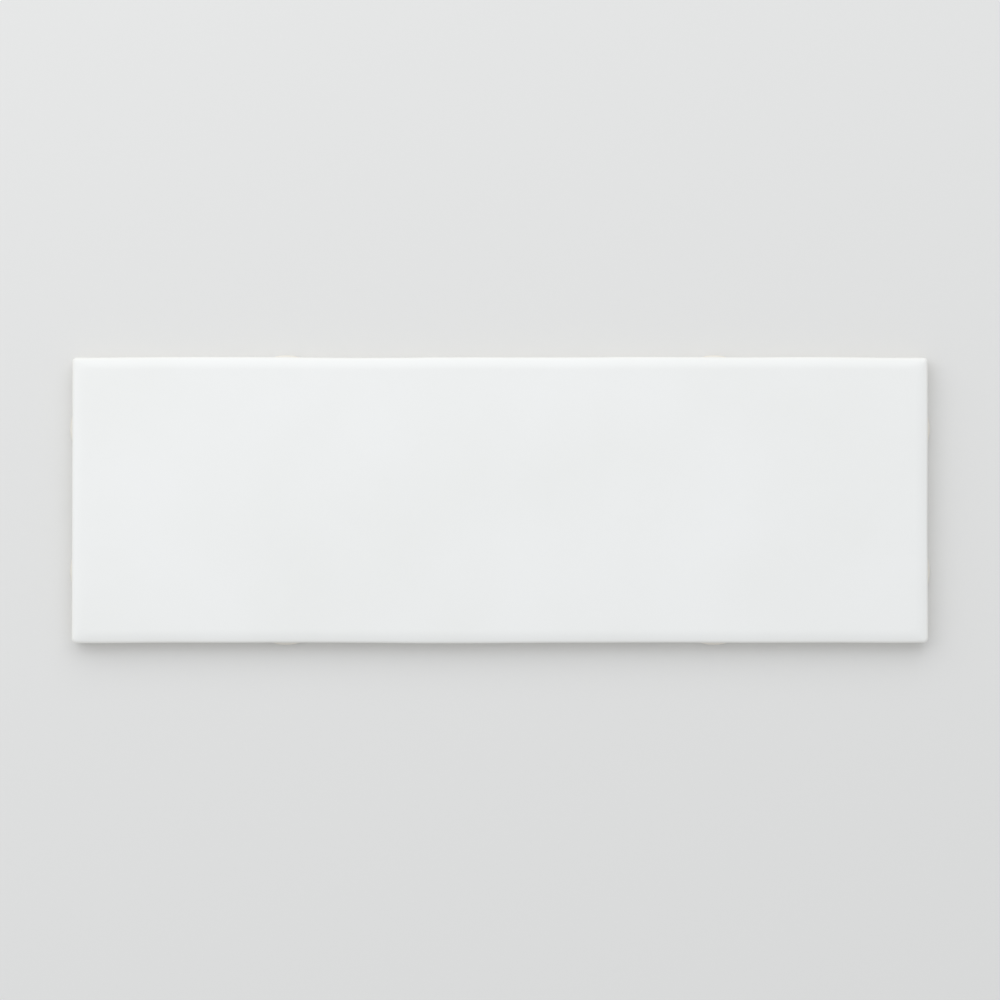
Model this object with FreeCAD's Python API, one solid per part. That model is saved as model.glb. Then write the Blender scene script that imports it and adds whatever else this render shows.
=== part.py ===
import FreeCAD, Part
import math
import os
from FreeCAD import Vector

# A glazed ceramic wall tile of the long subway format, pressed and fired as one piece.
# Sizes are in millimetres and angles in degrees.
# The bedding face lies on z = 0 and the glazed face looks up along +Z.
# X runs along the tile and Y across it. The origin is the middle of the bedding face.

# Overall size, over the widest part of the edge and without the lugs
LENGTH = 300.0
WIDTH = 100.0
THICKNESS = 8.0

# Edge of the glazed face: a wide soft cushion that ends in a small round nose
CUSHION_RADIUS = 12.0
CUSHION_TILT = 17.0  # how far the cushion has tipped over where it meets the nose
NOSE_RADIUS = 1.2

# Corners in plan: small at the nose, and softer where the flat face begins
CORNER_CORE = 0.5  # how much more than the nose's radius the corner's radius is
FACE_CORNER_RADIUS = 4.0

# Sides, which lean in towards the back so that the pressed tile leaves its die
SIDE_DRAFT = 3.0
BACK_CHAMFER = 0.6

# Spacer lugs: low round swellings on the sides that set the gap when the tile is laid
LUG_PROUD = 0.8
LUG_CHORD = 10.0  # length of a lug along the side
LUG_HEIGHT = 4.8
END_LUG_SPACING = 50.0  # between the two lugs of a short side

# Waffle of shallow square pockets that keys the back into its adhesive
POCKET_SIDE = 9.0
POCKET_DEPTH = 0.6
POCKET_DRAFT = 30.0
RIB_WIDTH = 2.0
PLAIN_BORDER = 6.0  # narrowest plain band left round the waffle

CUSHION_STATIONS = 5  # outlines that the cushion is lofted through

UP = Vector(0, 0, 1)
ORIGIN = Vector(0, 0, 0)


def sin(degrees):
    return math.sin(math.radians(degrees))


def cos(degrees):
    return math.cos(math.radians(degrees))


def tan(degrees):
    return math.tan(math.radians(degrees))


# The edge in section: the cushion runs from the flat face out to the nose, and the nose round to
# the drafted side. Insets are measured in from the widest outline, which touches the nose.
cushion_width = CUSHION_RADIUS * sin(CUSHION_TILT)
cushion_drop = CUSHION_RADIUS * (1 - cos(CUSHION_TILT))
nose_width = NOSE_RADIUS * (1 - sin(CUSHION_TILT))
nose_centre_level = THICKNESS - cushion_drop - NOSE_RADIUS * cos(CUSHION_TILT)
side_tilt = 90 + SIDE_DRAFT

# The middles of the corners, which their noses are turned about
corner_radius = NOSE_RADIUS + CORNER_CORE
corner_x = LENGTH / 2 - corner_radius
corner_y = WIDTH / 2 - corner_radius
quadrants = [(1, 1), (-1, 1), (-1, -1), (1, -1)]


def nose_point(tilt):
    """Point of the corner's section where the nose's surface has tipped over by tilt."""
    return Vector(CORNER_CORE + NOSE_RADIUS * sin(tilt), 0, nose_centre_level + NOSE_RADIUS * cos(tilt))


def rim_section():
    """Section from a corner's axis out: chamfered back edge, drafted side and round nose."""
    nose_top = nose_point(CUSHION_TILT)
    nose_middle = nose_point((CUSHION_TILT + side_tilt) / 2)
    side_top = nose_point(side_tilt)
    side_foot_reach = side_top.x - (side_top.z - BACK_CHAMFER) * tan(SIDE_DRAFT)
    side_foot = Vector(side_foot_reach, 0, BACK_CHAMFER)
    back_edge = Vector(side_foot_reach - BACK_CHAMFER, 0, 0)
    axis_top = Vector(0, 0, nose_top.z)
    flats = Part.makePolygon([nose_top, axis_top, ORIGIN, back_edge, side_foot, side_top])
    nose = Part.Arc(side_top, nose_middle, nose_top).toShape()
    return Part.Face(Part.Wire([*flats.Edges, nose]))


def rim():
    """Rim below the cushion: a turned quarter at each corner and a straight run after it."""
    section = rim_section()
    corners = [Vector(x * corner_x, y * corner_y, 0) for x, y in quadrants]
    pieces = []
    for turn, corner in enumerate(corners):
        next_corner = corners[(turn + 1) % len(corners)]
        start = section.rotated(ORIGIN, UP, 90 * turn).translated(corner)
        end = start.rotated(corner, UP, 90)
        pieces.append(start.revolve(corner, UP, 90))
        pieces.append(end.extrude(next_corner - corner))
    return pieces


def core():
    """Plain block inside the rim, as high as the nose's top."""
    height = nose_point(CUSHION_TILT).z
    return Part.makeBox(2 * corner_x, 2 * corner_y, height, Vector(-corner_x, -corner_y, 0))


def outline(inset, level, radius):
    """Rounded rectangle that lies inset inside the tile's widest outline."""
    x = LENGTH / 2 - inset - radius
    y = WIDTH / 2 - inset - radius
    arcs = []
    for turn, (sign_x, sign_y) in enumerate(quadrants):
        middle = Vector(sign_x * x, sign_y * y, level)
        arcs.append(Part.makeCircle(radius, middle, UP, 90 * turn, 90 * turn + 90))
    edges = []
    for arc, next_arc in zip(arcs, arcs[1:] + arcs[:1]):
        run = Part.makeLine(arc.Vertexes[-1].Point, next_arc.Vertexes[0].Point)
        edges += [arc, run]
    return Part.Wire(edges)


def cushion():
    """Top of the tile, lofted up from the nose: its corners soften towards the flat face."""
    nose_corner_radius = corner_radius - nose_width
    softening = FACE_CORNER_RADIUS - nose_corner_radius
    outlines = []
    for station in range(CUSHION_STATIONS):
        tilt = CUSHION_TILT * (1 - station / (CUSHION_STATIONS - 1))
        climbed = cushion_width - CUSHION_RADIUS * sin(tilt)
        level = THICKNESS - CUSHION_RADIUS * (1 - cos(tilt))
        radius = nose_corner_radius + softening * climbed / cushion_width
        outlines.append(outline(nose_width + climbed, level, radius))
    return Part.makeLoft(outlines, True)


def lug_disc():
    """Turned disc whose rim breaks through a side as a lug with a sloping top."""
    reach = ((LUG_CHORD / 2) ** 2 + LUG_PROUD**2) / (2 * LUG_PROUD)
    section = Part.makePolygon(
        [
            ORIGIN,
            Vector(reach - BACK_CHAMFER, 0, 0),
            Vector(reach, 0, BACK_CHAMFER),
            Vector(reach, 0, LUG_HEIGHT - LUG_PROUD),
            Vector(reach - LUG_PROUD, 0, LUG_HEIGHT),
            Vector(0, 0, LUG_HEIGHT),
            ORIGIN,
        ]
    )
    return Part.Face(section).revolve(ORIGIN, UP, 360), reach


def lugs():
    """Two lugs on each side. Those of the long sides stand at the quarter points."""
    disc, reach = lug_disc()
    long_side = (LENGTH / 4, WIDTH / 2 + LUG_PROUD - reach)
    short_side = (LENGTH / 2 + LUG_PROUD - reach, END_LUG_SPACING / 2)
    placed = []
    for x, y in (long_side, short_side):
        placed += [disc.translated(Vector(sign_x * x, sign_y * y, 0)) for sign_x, sign_y in quadrants]
    return placed


def pocket():
    """One pocket of the waffle, over the origin, whose walls lean in towards its floor."""
    mouth = POCKET_SIDE / 2
    floor = mouth - POCKET_DEPTH * tan(POCKET_DRAFT)
    wedge = Part.makeWedge(-mouth, 0, -mouth, -floor, -floor, mouth, POCKET_DEPTH, mouth, floor, floor)
    return wedge.rotated(ORIGIN, Vector(1, 0, 0), 90)


def pocket_places(extent):
    """Middles of the pockets along one direction: an even count, so that a rib runs midway."""
    pitch = POCKET_SIDE + RIB_WIDTH
    pairs = int((extent / 2 - PLAIN_BORDER + RIB_WIDTH / 2) / pitch)
    return [pitch * (i + 0.5) for i in range(-pairs, pairs)]


def waffle():
    """All the pockets of the back."""
    one = pocket()
    places = [(x, y) for x in pocket_places(LENGTH) for y in pocket_places(WIDTH)]
    return Part.makeCompound([one.translated(Vector(x, y, 0)) for x, y in places])


def wall_tile():
    """The whole tile: rim and cushion round a plain core, with lugs, and a waffle in its back."""
    body = core().fuse([*rim(), cushion(), *lugs()])
    return body.removeSplitter().cut(waffle())


os.makedirs("parts", exist_ok=True)
tile = wall_tile()
tile.exportStep("parts/wall_tile.step")
print("solids", len(tile.Solids), "valid", tile.isValid(), "volume mm3", round(tile.Volume))
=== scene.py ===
import math

import bmesh
import bpy
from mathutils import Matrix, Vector, noise


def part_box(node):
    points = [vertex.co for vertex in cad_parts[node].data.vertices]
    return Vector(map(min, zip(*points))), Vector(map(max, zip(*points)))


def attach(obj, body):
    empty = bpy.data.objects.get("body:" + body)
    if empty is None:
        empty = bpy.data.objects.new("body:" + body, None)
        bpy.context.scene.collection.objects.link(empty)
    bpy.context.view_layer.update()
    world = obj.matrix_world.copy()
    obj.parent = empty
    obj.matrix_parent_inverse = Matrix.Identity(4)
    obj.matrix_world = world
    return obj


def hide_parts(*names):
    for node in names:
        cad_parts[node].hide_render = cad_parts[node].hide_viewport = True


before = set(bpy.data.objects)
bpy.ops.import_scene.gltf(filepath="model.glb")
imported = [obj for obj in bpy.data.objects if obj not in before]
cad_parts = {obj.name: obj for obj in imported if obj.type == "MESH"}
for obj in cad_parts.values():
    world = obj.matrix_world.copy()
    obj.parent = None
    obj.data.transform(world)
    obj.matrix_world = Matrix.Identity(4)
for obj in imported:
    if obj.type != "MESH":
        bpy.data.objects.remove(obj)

MM = 0.001

# The fired tile, at the sizes of its solid. Insets are measured in from its widest outline.
CUSHION_RADIUS = 12.0 * MM
CUSHION_TILT = math.radians(17)
NOSE_RADIUS = 1.2 * MM
CORNER_CORE = 0.5 * MM
FACE_CORNER_RADIUS = 4.0 * MM
SIDE_DRAFT = math.radians(3)
BACK_CHAMFER = 0.6 * MM
LUG_PROUD = 0.8 * MM
LUG_CHORD = 10.0 * MM
LUG_HEIGHT = 4.8 * MM
END_LUG_SPACING = 50.0 * MM
POCKET_SIDE = 9.0 * MM
POCKET_DEPTH = 0.6 * MM
POCKET_DRAFT = math.radians(30)
RIB_WIDTH = 2.0 * MM
PLAIN_BORDER = 6.0 * MM

# What pressing, glazing and firing add to it. Each span is the length over which an unevenness
# comes and goes.
CROWN = 0.3 * MM  # how far the face has fallen away where it meets its edges
SLOW_RIPPLE = 0.06 * MM  # how deep the long swells of the glaze dip
SLOW_SPAN = 38 * MM
QUICK_RIPPLE = 0.014 * MM  # and the short ones
QUICK_SPAN = 11 * MM
EDGE_WANDER = 0.22 * MM  # how far the fired edges stray from straight, either way
EDGE_SPAN = 45 * MM
GLAZE_THICKNESS = 0.2 * MM
GLAZE_LINE = 5.35 * MM  # mean height where the glaze stops on the sides
GLAZE_WAVE = 0.28 * MM  # how far that height strays, either way, in long runs and short drips
RUN_SPAN = 24 * MM
DRIP_SPAN = 7 * MM
MIST_REACH = 1.6 * MM  # how far below the glaze its stray specks lie on the clay
BLEND = 0.35 * MM  # how softly a lug grows out of its side
POCKET_CORNER = 0.7 * MM
ROLL = 0.12 * MM  # radius worn on to the pressed arrises of the back

# Mesh spacing
CORNER_STEPS = 12
CLOSE_STEP = 0.5 * MM
OPEN_STEP = 2.6 * MM
CUSHION_RINGS = 7
NOSE_RINGS = 12
LIP_RINGS = 5

# The pale room: how strongly it lights the tile, and how bright it looks behind it
FILL = 0.65
BACKGROUND = 0.8
FLOOR_GAP = 0.02 * MM  # keeps the floor out of the plane of the tile's back
FADE_START = 0.35  # how far out, in metres, the floor begins to pass into the background
FADE_END = 1.3

low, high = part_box("wall_tile")
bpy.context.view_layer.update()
thickness = high.z - low.z
half_length = high.x - LUG_PROUD
half_width = high.y - LUG_PROUD

cushion_width = CUSHION_RADIUS * math.sin(CUSHION_TILT)
cushion_drop = CUSHION_RADIUS * (1 - math.cos(CUSHION_TILT))
nose_width = NOSE_RADIUS * (1 - math.sin(CUSHION_TILT))
nose_level = thickness - cushion_drop - NOSE_RADIUS * math.cos(CUSHION_TILT)
corner_radius = NOSE_RADIUS + CORNER_CORE
corner_x = half_length - corner_radius
corner_y = half_width - corner_radius
quadrants = [(1, 1), (-1, 1), (-1, -1), (1, -1)]


def smooth_more(a, b, width):
    """The larger of two lengths, rounded over where they are about equal."""
    gap = max(width - abs(a - b), 0) / width
    return max(a, b) + gap * gap * width / 4


def ramp(value, start, end):
    """0 at start and 1 at end, with a soft beginning and end."""
    share = min(max((value - start) / (end - start), 0), 1)
    return share * share * (3 - 2 * share)


def wave(x, y, span, seed):
    """Smooth random value from -1 to 1 that changes over a span."""
    # The plain noise seldom passes 0.6 either way, so it is stretched
    stretched = noise.noise(Vector((x / span, y / span, seed))) * 1.6
    return min(max(stretched, -1), 1)


def run_places(half_run, lug_place):
    """Places along a side, from corner to corner, closer together round its two lugs."""
    reach = LUG_CHORD / 2 + 3 * BLEND
    marks = [-half_run, -lug_place - reach, -lug_place + reach]
    marks += [-mark for mark in reversed(marks)]
    places = []
    for number, (start, end) in enumerate(zip(marks, marks[1:])):
        step = CLOSE_STEP if number % 2 else OPEN_STEP
        count = math.ceil((end - start) / step)
        places += [start + (end - start) * i / count for i in range(count)]
    return places[1:]


def stations():
    """Stations round the outline: two corners, the share of the way between them, and the heading."""
    sides = [(corner_x, half_length / 2), (corner_y, END_LUG_SPACING / 2)] * 2
    found = []
    for turn, (half_run, lug_place) in enumerate(sides):
        after = (turn + 1) % 4
        for step in range(CORNER_STEPS + 1):
            found.append((turn, turn, 0.0, math.radians(90 * (turn + step / CORNER_STEPS))))
        heading = math.radians(90 * (turn + 1))
        for place in run_places(half_run, lug_place):
            found.append((turn, after, (place + half_run) / (2 * half_run), heading))
    return found


def outline_point(station, inset, radius):
    """Where a rounded rectangle passes a station, and which way is out."""
    first, second, share, heading = station
    ends = []
    for quadrant in (first, second):
        sign_x, sign_y = quadrants[quadrant]
        ends.append((sign_x * (half_length - inset - radius), sign_y * (half_width - inset - radius)))
    out_x, out_y = math.cos(heading), math.sin(heading)
    x = ends[0][0] * (1 - share) + ends[1][0] * share + radius * out_x
    y = ends[0][1] * (1 - share) + ends[1][1] * share + radius * out_y
    return x, y, out_x, out_y


def lug_reach(x, y, out_x, out_y):
    """How far a lug's rounded rim stands out of the widest outline beside a point of a side.
    Where there is no lug, this lies deep inside the tile."""
    rim = ((LUG_CHORD / 2) ** 2 + LUG_PROUD**2) / (2 * LUG_PROUD)
    on_long_side = abs(out_y) > 0.99
    on_short_side = abs(out_x) > 0.99
    if not (on_long_side or on_short_side):
        return -half_width
    along = abs(x) - half_length / 2 if on_long_side else abs(y) - END_LUG_SPACING / 2
    if abs(along) >= rim:
        return -half_width
    return math.sqrt(rim * rim - along * along) - rim + LUG_PROUD


def stray(x, y):
    """How far out of the straight outline an edge strays beside a point."""
    return EDGE_WANDER * wave(x, y, EDGE_SPAN, 6.4)


def side_reach(level, x, y, out_x, out_y):
    """How far the bare clay of a side stands out of the widest outline: draft, chamfer and lug."""
    drafted = stray(x, y) - (nose_level - level) * math.tan(SIDE_DRAFT) - GLAZE_THICKNESS
    foot = smooth_more(BACK_CHAMFER - level, 0, ROLL * 2)
    slope = smooth_more(level - LUG_HEIGHT + LUG_PROUD, 0, BLEND)
    lug = lug_reach(x, y, out_x, out_y) - slope
    return smooth_more(drafted, lug, BLEND) - foot


def glaze_line(x, y):
    """Height where the glaze stops on the sides: it runs down a little further here and there."""
    return GLAZE_LINE + GLAZE_WAVE * (0.6 * wave(x, y, RUN_SPAN, 3.1) + 0.4 * wave(x, y, DRIP_SPAN, 8.7))


def face_rings():
    """Rings of the cushion and nose as inset, level and corner radius, from the flat face out."""
    nose_corner = corner_radius - nose_width
    rings = []
    for ring in range(CUSHION_RINGS):
        tilt = CUSHION_TILT * ring / CUSHION_RINGS
        climbed = cushion_width - CUSHION_RADIUS * math.sin(tilt)
        level = thickness - CUSHION_RADIUS * (1 - math.cos(tilt))
        radius = nose_corner + (FACE_CORNER_RADIUS - nose_corner) * climbed / cushion_width
        rings.append((nose_width + climbed, level, radius))
    for ring in range(NOSE_RINGS + 1):
        tilt = CUSHION_TILT + (math.pi / 2 - CUSHION_TILT) * ring / NOSE_RINGS
        inset = NOSE_RADIUS * (1 - math.sin(tilt))
        rings.append((inset, nose_level + NOSE_RADIUS * math.cos(tilt), corner_radius - inset))
    return rings


def sunk(x, y):
    """How far the fired face lies below a true plane: a slight crown, and the glaze's ripple."""
    crown = CROWN * (0.7 * (y / half_width) ** 2 + 0.3 * (x / half_length) ** 2)
    slow = 0.5 + 0.5 * wave(x, y, SLOW_SPAN, 1.3)
    quick = 0.5 + 0.5 * wave(x, y, QUICK_SPAN, 5.9)
    return crown + SLOW_RIPPLE * slow + QUICK_RIPPLE * quick


def add_ring(mesh, points):
    return [mesh.verts.new(point) for point in points]


def join_rings(mesh, upper, lower, material):
    """Quads between two rings with the same stations."""
    for i, corner in enumerate(upper):
        after = (i + 1) % len(upper)
        face = mesh.faces.new((corner, lower[i], lower[after], upper[after]))
        face.material_index = material


def glazed_rings(mesh, round_tile):
    """Cushion, nose and the glazed top of the sides, down to the rolled lip of the glaze."""
    rings = []
    for inset, level, radius in face_rings():
        points = []
        for station in round_tile:
            x, y, out_x, out_y = outline_point(station, inset, radius)
            reach = stray(x, y)
            dip = sunk(x, y) * ramp(level, GLAZE_LINE, thickness - cushion_drop)
            points.append((x + out_x * reach, y + out_y * reach, level - dip))
        rings.append(add_ring(mesh, points))
    for ring in range(1, LIP_RINGS + 1):
        points = []
        turned = math.pi / 2 * ring / LIP_RINGS
        for station in round_tile:
            x, y, out_x, out_y = outline_point(station, 0, corner_radius)
            line = glaze_line(x, y)
            level = line + GLAZE_THICKNESS * (1 - math.sin(turned))
            drafted = stray(x, y) - (nose_level - level) * math.tan(SIDE_DRAFT)
            reach = drafted - GLAZE_THICKNESS * (1 - math.cos(turned))
            points.append((x + out_x * reach, y + out_y * reach, level))
        rings.append(add_ring(mesh, points))
    return rings


def bare_levels():
    """Heights of the rings down the bare sides, closer together at the lugs' tops and at the foot."""
    top = LUG_HEIGHT + BLEND
    slope_end = LUG_HEIGHT - LUG_PROUD - BLEND
    levels = [top - (top - slope_end) * i / 7 for i in range(8)]
    levels += [2.6 * MM, 1.6 * MM, 0.95 * MM]
    levels += [BACK_CHAMFER + ROLL * k for k in (1.2, 0.5, 0, -0.5, -1.2)]
    levels += [0.25 * MM, ROLL / 2, ROLL / 6]
    return levels


def bare_rings(mesh, round_tile):
    """The bare sides below the glaze, with the lugs, down to the rolled arris of the back."""
    rings = []
    for level in bare_levels():
        points = []
        for station in round_tile:
            x, y, out_x, out_y = outline_point(station, 0, corner_radius)
            reach = side_reach(level, x, y, out_x, out_y)
            points.append((x + out_x * reach, y + out_y * reach, level))
        rings.append(add_ring(mesh, points))
    points = []
    for station in round_tile:
        x, y, out_x, out_y = outline_point(station, 0, corner_radius)
        reach = side_reach(0, x, y, out_x, out_y) - ROLL / 2
        points.append((x + out_x * reach, y + out_y * reach, 0))
    rings.append(add_ring(mesh, points))
    return rings


def cover_face(mesh, ring):
    """Grid over the flat face, blended in between the four sides of the innermost ring."""
    side_x = len(run_places(corner_x, half_length / 2)) + 1 + CORNER_STEPS
    side_y = len(run_places(corner_y, END_LUG_SPACING / 2)) + 1 + CORNER_STEPS
    start = CORNER_STEPS // 2
    starts = [start, start + side_x, start + side_x + side_y, start + 2 * side_x + side_y]
    loop = ring + ring
    back_row = loop[starts[0]:starts[0] + side_x + 1][::-1]
    left_column = loop[starts[1]:starts[1] + side_y + 1][::-1]
    front_row = loop[starts[2]:starts[2] + side_x + 1]
    right_column = loop[starts[3]:starts[3] + side_y + 1]
    grid = [front_row]
    for row in range(1, side_y):
        left, right = left_column[row], right_column[row]
        v = (left.co.y - front_row[0].co.y) / (back_row[0].co.y - front_row[0].co.y)
        line = [left]
        for column in range(1, side_x):
            front, back = front_row[column], back_row[column]
            u = (front.co.x - front_row[0].co.x) / (front_row[-1].co.x - front_row[0].co.x)
            across = left.co * (1 - u) + right.co * u
            along = front.co * (1 - v) + back.co * v
            low_blend = front_row[0].co * (1 - u) + front_row[-1].co * u
            high_blend = back_row[0].co * (1 - u) + back_row[-1].co * u
            place = across + along - low_blend * (1 - v) - high_blend * v
            place.z = thickness - sunk(place.x, place.y)
            line.append(mesh.verts.new(place))
        line.append(right)
        grid.append(line)
    grid.append(back_row)
    for lower, upper in zip(grid, grid[1:]):
        for column in range(side_x):
            mesh.faces.new((lower[column], lower[column + 1], upper[column + 1], upper[column]))


def pocket_places(half_extent):
    """Middles of the waffle's pockets along one direction."""
    pitch = POCKET_SIDE + RIB_WIDTH
    pairs = int((half_extent - PLAIN_BORDER + RIB_WIDTH / 2) / pitch)
    return [pitch * (i + 0.5) for i in range(-pairs, pairs)]


def pocket_ring(mesh, middle_x, middle_y, half, level):
    """Rounded square ring of a pocket: three points at each corner."""
    ring = []
    soft = POCKET_CORNER * (1 - math.sqrt(0.5))
    for sign_x, sign_y in quadrants:
        turns = [(0, POCKET_CORNER), (soft, soft), (POCKET_CORNER, 0)]
        if sign_x != sign_y:
            turns.reverse()
        for back_x, back_y in turns:
            x = middle_x + sign_x * (half - back_x)
            y = middle_y + sign_y * (half - back_y)
            ring.append(mesh.verts.new((x, y, level)))
    return ring


def pocket_profile():
    """Half size and height up a pocket's wall, with rolled arrises at its mouth and floor."""
    mouth = POCKET_SIDE / 2
    floor = mouth - POCKET_DEPTH * math.tan(POCKET_DRAFT)
    return [
        (mouth + ROLL, 0),
        (mouth + ROLL * 0.2, ROLL * 0.25),
        (mouth - ROLL * 0.5, ROLL),
        (floor + ROLL * 0.5, POCKET_DEPTH - ROLL),
        (floor - ROLL * 0.2, POCKET_DEPTH - ROLL * 0.25),
        (floor - ROLL, POCKET_DEPTH),
    ]


def press_waffle(mesh, material):
    """Shallow pockets of the back, each in its own square of rib tops."""
    pitch = POCKET_SIDE + RIB_WIDTH
    crossings = {}

    def crossing(x, y):
        key = (round(x / pitch), round(y / pitch))
        if key not in crossings:
            crossings[key] = mesh.verts.new((x, y, 0))
        return crossings[key]

    for x in pocket_places(half_length):
        for y in pocket_places(half_width):
            rings = [pocket_ring(mesh, x, y, half, level) for half, level in pocket_profile()]
            corners = [crossing(x + sx * pitch / 2, y + sy * pitch / 2) for sx, sy in quadrants]
            faces = [rings[-1]]
            for upper, lower in zip(rings, rings[1:]):
                for i in range(len(upper)):
                    after = (i + 1) % len(upper)
                    faces.append((upper[i], upper[after], lower[after], lower[i]))
            mouth = rings[0]
            # The ribs' tops along the four sides of the pocket, up to the ribs' middles
            for turn in range(4):
                after = (turn + 1) % 4
                faces.append(
                    (
                        corners[turn],
                        corners[after],
                        mouth[3 * after + 1],
                        mouth[3 * after],
                        mouth[3 * turn + 2],
                        mouth[3 * turn + 1],
                    )
                )
            for points in faces:
                mesh.faces.new(points).material_index = material


def fill_border(mesh, material):
    """Plain flat border between the waffle and the arris of the back."""
    rims = [edge for edge in mesh.edges if len(edge.link_faces) == 1]
    made = bmesh.ops.triangle_fill(mesh, edges=rims, use_beauty=True, normal=(0, 0, -1))
    for piece in made["geom"]:
        if isinstance(piece, bmesh.types.BMFace):
            piece.material_index = material


def glazed_tile():
    """The whole tile as one closed mesh: material 0 is the glaze and material 1 the bare clay."""
    glaze, clay = 0, 1
    mesh = bmesh.new()
    round_tile = stations()
    glazed = glazed_rings(mesh, round_tile)
    bare = bare_rings(mesh, round_tile)
    cover_face(mesh, glazed[0])
    for upper, lower in zip(glazed, glazed[1:]):
        join_rings(mesh, upper, lower, glaze)
    for upper, lower in zip([glazed[-1]] + bare, bare):
        join_rings(mesh, upper, lower, clay)
    press_waffle(mesh, clay)
    fill_border(mesh, clay)
    bmesh.ops.recalc_face_normals(mesh, faces=mesh.faces)
    for face in mesh.faces:
        face.smooth = True
    data = bpy.data.meshes.new("glazed_tile")
    mesh.to_mesh(data)
    mesh.free()
    tile = bpy.data.objects.new("glazed_tile", data)
    bpy.context.scene.collection.objects.link(tile)
    return tile


def linear(code):
    """Linear colour of an sRGB hex code."""
    channels = [int(code[i:i + 2], 16) / 255 for i in (1, 3, 5)]
    return [c / 12.92 if c <= 0.04045 else ((c + 0.055) / 1.055) ** 2.4 for c in channels] + [1.0]


def add(tree, kind, inputs=(), **settings):
    """Adds a node. An input given as an output socket is linked, and any other is its value."""
    made = tree.nodes.new(kind)
    for name, value in settings.items():
        setattr(made, name, value)
    for name, value in dict(inputs).items():
        if isinstance(value, bpy.types.NodeSocket):
            tree.links.new(value, made.inputs[name])
        else:
            made.inputs[name].default_value = value
    return made


def empty_material(name):
    """A node material without nodes, and its tree."""
    made = bpy.data.materials.new(name)
    made.use_nodes = True
    made.node_tree.nodes.clear()
    return made, made.node_tree


def white_satin_glaze():
    """Opaque white satin glaze, sprayed and fired: cool white, soft shine, faint orange peel.
    It lies a little thicker here and there, which clouds its white. It thins over the nose, where
    a little of the warmer clay shows through."""
    made, tree = empty_material("white_satin_glaze")
    place = add(tree, "ShaderNodeTexCoord").outputs["Object"]
    cloud = add(tree, "ShaderNodeTexNoise", {"Vector": place, "Scale": 1 / (50 * MM), "Detail": 3.0})
    tone = add(
        tree,
        "ShaderNodeMix",
        {"Factor": cloud.outputs["Fac"], "A": linear("#E9EBEA"), "B": linear("#F0F2F3")},
        data_type="RGBA",
    )
    height = add(tree, "ShaderNodeSeparateXYZ", {"Vector": place}).outputs["Z"]
    thin = add(
        tree,
        "ShaderNodeMapRange",
        {"Value": height, "From Min": thickness - cushion_drop, "From Max": nose_level, "To Max": 0.5},
        interpolation_type="SMOOTHSTEP",
    )
    body = add(
        tree,
        "ShaderNodeMix",
        {"Factor": thin.outputs["Result"], "A": tone.outputs["Result"], "B": linear("#EFEDE6")},
        data_type="RGBA",
    )
    smear = add(tree, "ShaderNodeTexNoise", {"Vector": place, "Scale": 1 / (30 * MM), "Detail": 3.0})
    rough = add(tree, "ShaderNodeMapRange", {"Value": smear.outputs["Fac"], "To Min": 0.31, "To Max": 0.37})
    swell = add(tree, "ShaderNodeTexNoise", {"Vector": place, "Scale": 1 / (9 * MM), "Detail": 1.0})
    broad = add(
        tree, "ShaderNodeBump", {"Height": swell.outputs["Fac"], "Distance": 0.012 * MM, "Strength": 1.0}
    )
    peel = add(tree, "ShaderNodeTexNoise", {"Vector": place, "Scale": 1 / (1.4 * MM), "Detail": 1.0})
    fine = add(
        tree,
        "ShaderNodeBump",
        {
            "Height": peel.outputs["Fac"],
            "Distance": 0.0012 * MM,
            "Strength": 1.0,
            "Normal": broad.outputs["Normal"],
        },
    )
    shader = add(
        tree,
        "ShaderNodeBsdfPrincipled",
        {
            "Base Color": body.outputs["Result"],
            "Roughness": rough.outputs["Result"],
            "IOR": 1.52,
            "Normal": fine.outputs["Normal"],
        },
    )
    add(tree, "ShaderNodeOutputMaterial", {"Surface": shader.outputs["BSDF"]})
    return made


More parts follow.
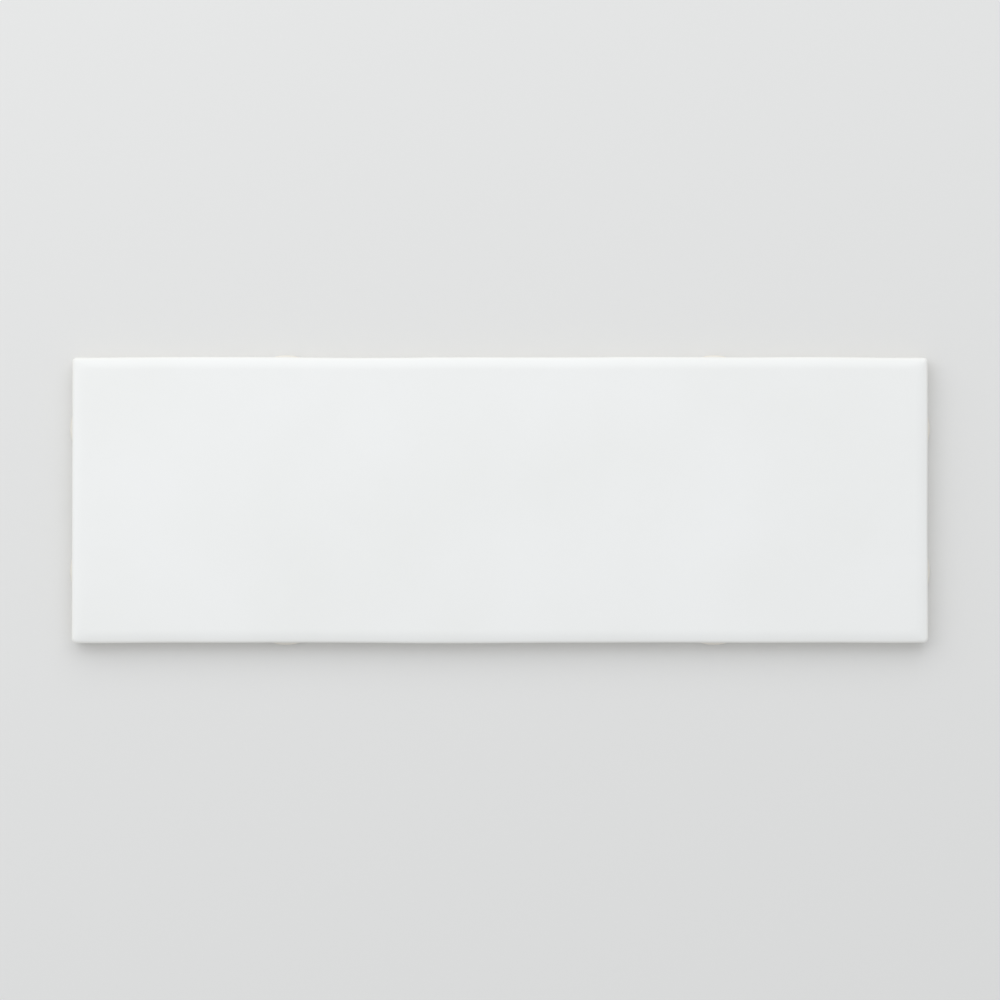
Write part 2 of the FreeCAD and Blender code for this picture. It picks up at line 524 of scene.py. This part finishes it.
def bare_clay():
    """Pressed and fired white clay body, unglazed: warm off-white, dry and finely granular.
    Stray specks of the sprayed glaze whiten it just below the glaze's edge."""
    made, tree = empty_material("bare_fired_clay")
    place = add(tree, "ShaderNodeTexCoord").outputs["Object"]
    patch = add(tree, "ShaderNodeTexNoise", {"Vector": place, "Scale": 1 / (12 * MM), "Detail": 4.0})
    tone = add(
        tree,
        "ShaderNodeMix",
        {"Factor": patch.outputs["Fac"], "A": linear("#DFDBD2"), "B": linear("#E9E6DF")},
        data_type="RGBA",
    )
    height = add(tree, "ShaderNodeSeparateXYZ", {"Vector": place}).outputs["Z"]
    mist = add(
        tree,
        "ShaderNodeMapRange",
        {"Value": height, "From Min": GLAZE_LINE - MIST_REACH, "From Max": GLAZE_LINE, "To Max": 0.55},
        interpolation_type="SMOOTHSTEP",
    )
    specks = add(tree, "ShaderNodeTexNoise", {"Vector": place, "Scale": 1 / (0.7 * MM), "Detail": 2.0})
    caught = add(
        tree, "ShaderNodeMapRange", {"Value": specks.outputs["Fac"], "From Min": 0.35, "From Max": 0.6}
    )
    share = add(
        tree, "ShaderNodeMath", {0: mist.outputs["Result"], 1: caught.outputs["Result"]}, operation="MULTIPLY"
    )
    body = add(
        tree,
        "ShaderNodeMix",
        {"Factor": share.outputs["Value"], "A": tone.outputs["Result"], "B": linear("#ECEDEC")},
        data_type="RGBA",
    )
    # The real grit, a tenth of a millimetre, is drawn coarser so that it shows
    grit = add(tree, "ShaderNodeTexNoise", {"Vector": place, "Scale": 1 / (0.8 * MM), "Detail": 3.0})
    grain = add(
        tree, "ShaderNodeBump", {"Height": grit.outputs["Fac"], "Distance": 0.08 * MM, "Strength": 1.0}
    )
    shader = add(
        tree,
        "ShaderNodeBsdfPrincipled",
        {
            "Base Color": body.outputs["Result"],
            "Roughness": 0.88,
            "IOR": 1.5,
            "Specular IOR Level": 0.25,
            "Normal": grain.outputs["Normal"],
        },
    )
    add(tree, "ShaderNodeOutputMaterial", {"Surface": shader.outputs["BSDF"]})
    return made


def seen(tree):
    """1 for what the camera sees, directly or in a reflection, and 0 for what lights a surface."""
    path = add(tree, "ShaderNodeLightPath")
    total = path.outputs["Is Camera Ray"]
    for ray in ("Is Glossy Ray", "Is Transmission Ray"):
        both = add(tree, "ShaderNodeMath", {0: total, 1: path.outputs[ray]}, operation="ADD")
        total = both.outputs["Value"]
    return total


def floor():
    """Plain pale floor under the tile, which passes into the pale background further out."""
    bpy.ops.mesh.primitive_plane_add(size=8.0, location=(0, 0, low.z - FLOOR_GAP))
    ground = bpy.context.object
    ground.name = "floor"
    made, tree = empty_material("pale_floor")
    paint = add(
        tree,
        "ShaderNodeBsdfPrincipled",
        {"Base Color": linear("#E1E2E2"), "Roughness": 0.9, "Specular IOR Level": 0.2},
    )
    place = add(tree, "ShaderNodeTexCoord").outputs["Object"]
    out = add(tree, "ShaderNodeVectorMath", {0: place}, operation="LENGTH").outputs["Value"]
    far = add(
        tree,
        "ShaderNodeMapRange",
        {"Value": out, "From Min": FADE_START, "From Max": FADE_END},
        interpolation_type="SMOOTHSTEP",
    )
    share = add(tree, "ShaderNodeMath", {0: far.outputs["Result"], 1: seen(tree)}, operation="MULTIPLY")
    distance = add(tree, "ShaderNodeEmission", {"Color": linear("#FFFFFF"), "Strength": BACKGROUND})
    both = add(
        tree,
        "ShaderNodeMixShader",
        {0: share.outputs["Value"], 1: paint.outputs["BSDF"], 2: distance.outputs["Emission"]},
    )
    add(tree, "ShaderNodeOutputMaterial", {"Surface": both.outputs["Shader"]})
    ground.data.materials.append(made)
    return ground


def studio_light():
    """Soft key from the upper left of the picture, and an even fill from a pale room."""
    lamp = bpy.data.lights.new("key_softbox", "AREA")
    lamp.shape = "RECTANGLE"
    lamp.size, lamp.size_y = 2.5, 1.35
    lamp.energy = 11.5
    key = bpy.data.objects.new("key_softbox", lamp)
    bearing, lean, distance = math.radians(20), math.radians(41), 1.2
    key.location = (
        -distance * math.sin(lean) * math.sin(bearing),
        distance * math.sin(lean) * math.cos(bearing),
        distance * math.cos(lean),
    )
    key.rotation_euler = (-key.location).to_track_quat("-Z", "Y").to_euler()
    bpy.context.scene.collection.objects.link(key)

    world = bpy.data.worlds.new("pale_room")
    bpy.context.scene.world = world
    world.use_nodes = True
    tree = world.node_tree
    tree.nodes.clear()
    strength = add(tree, "ShaderNodeMapRange", {"Value": seen(tree), "To Min": FILL, "To Max": BACKGROUND})
    sky = add(
        tree, "ShaderNodeBackground", {"Color": linear("#FFFFFF"), "Strength": strength.outputs["Result"]}
    )
    add(tree, "ShaderNodeOutputWorld", {"Surface": sky.outputs["Background"]})


def camera():
    """Long lens straight above the tile, square to its face."""
    lens = bpy.data.cameras.new("camera")
    lens.sensor_width = 36.0
    height = 1.6
    picture_width = 0.35
    lens.lens = lens.sensor_width * height / picture_width
    made = bpy.data.objects.new("camera", lens)
    made.location = (0, 0, high.z + height)
    bpy.context.scene.collection.objects.link(made)
    bpy.context.scene.camera = made


tile = glazed_tile()
tile.data.materials.append(white_satin_glaze())
tile.data.materials.append(bare_clay())
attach(tile, "root")
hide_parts("wall_tile")

floor()
studio_light()
camera()
bpy.context.scene.view_settings.view_transform = "Standard"
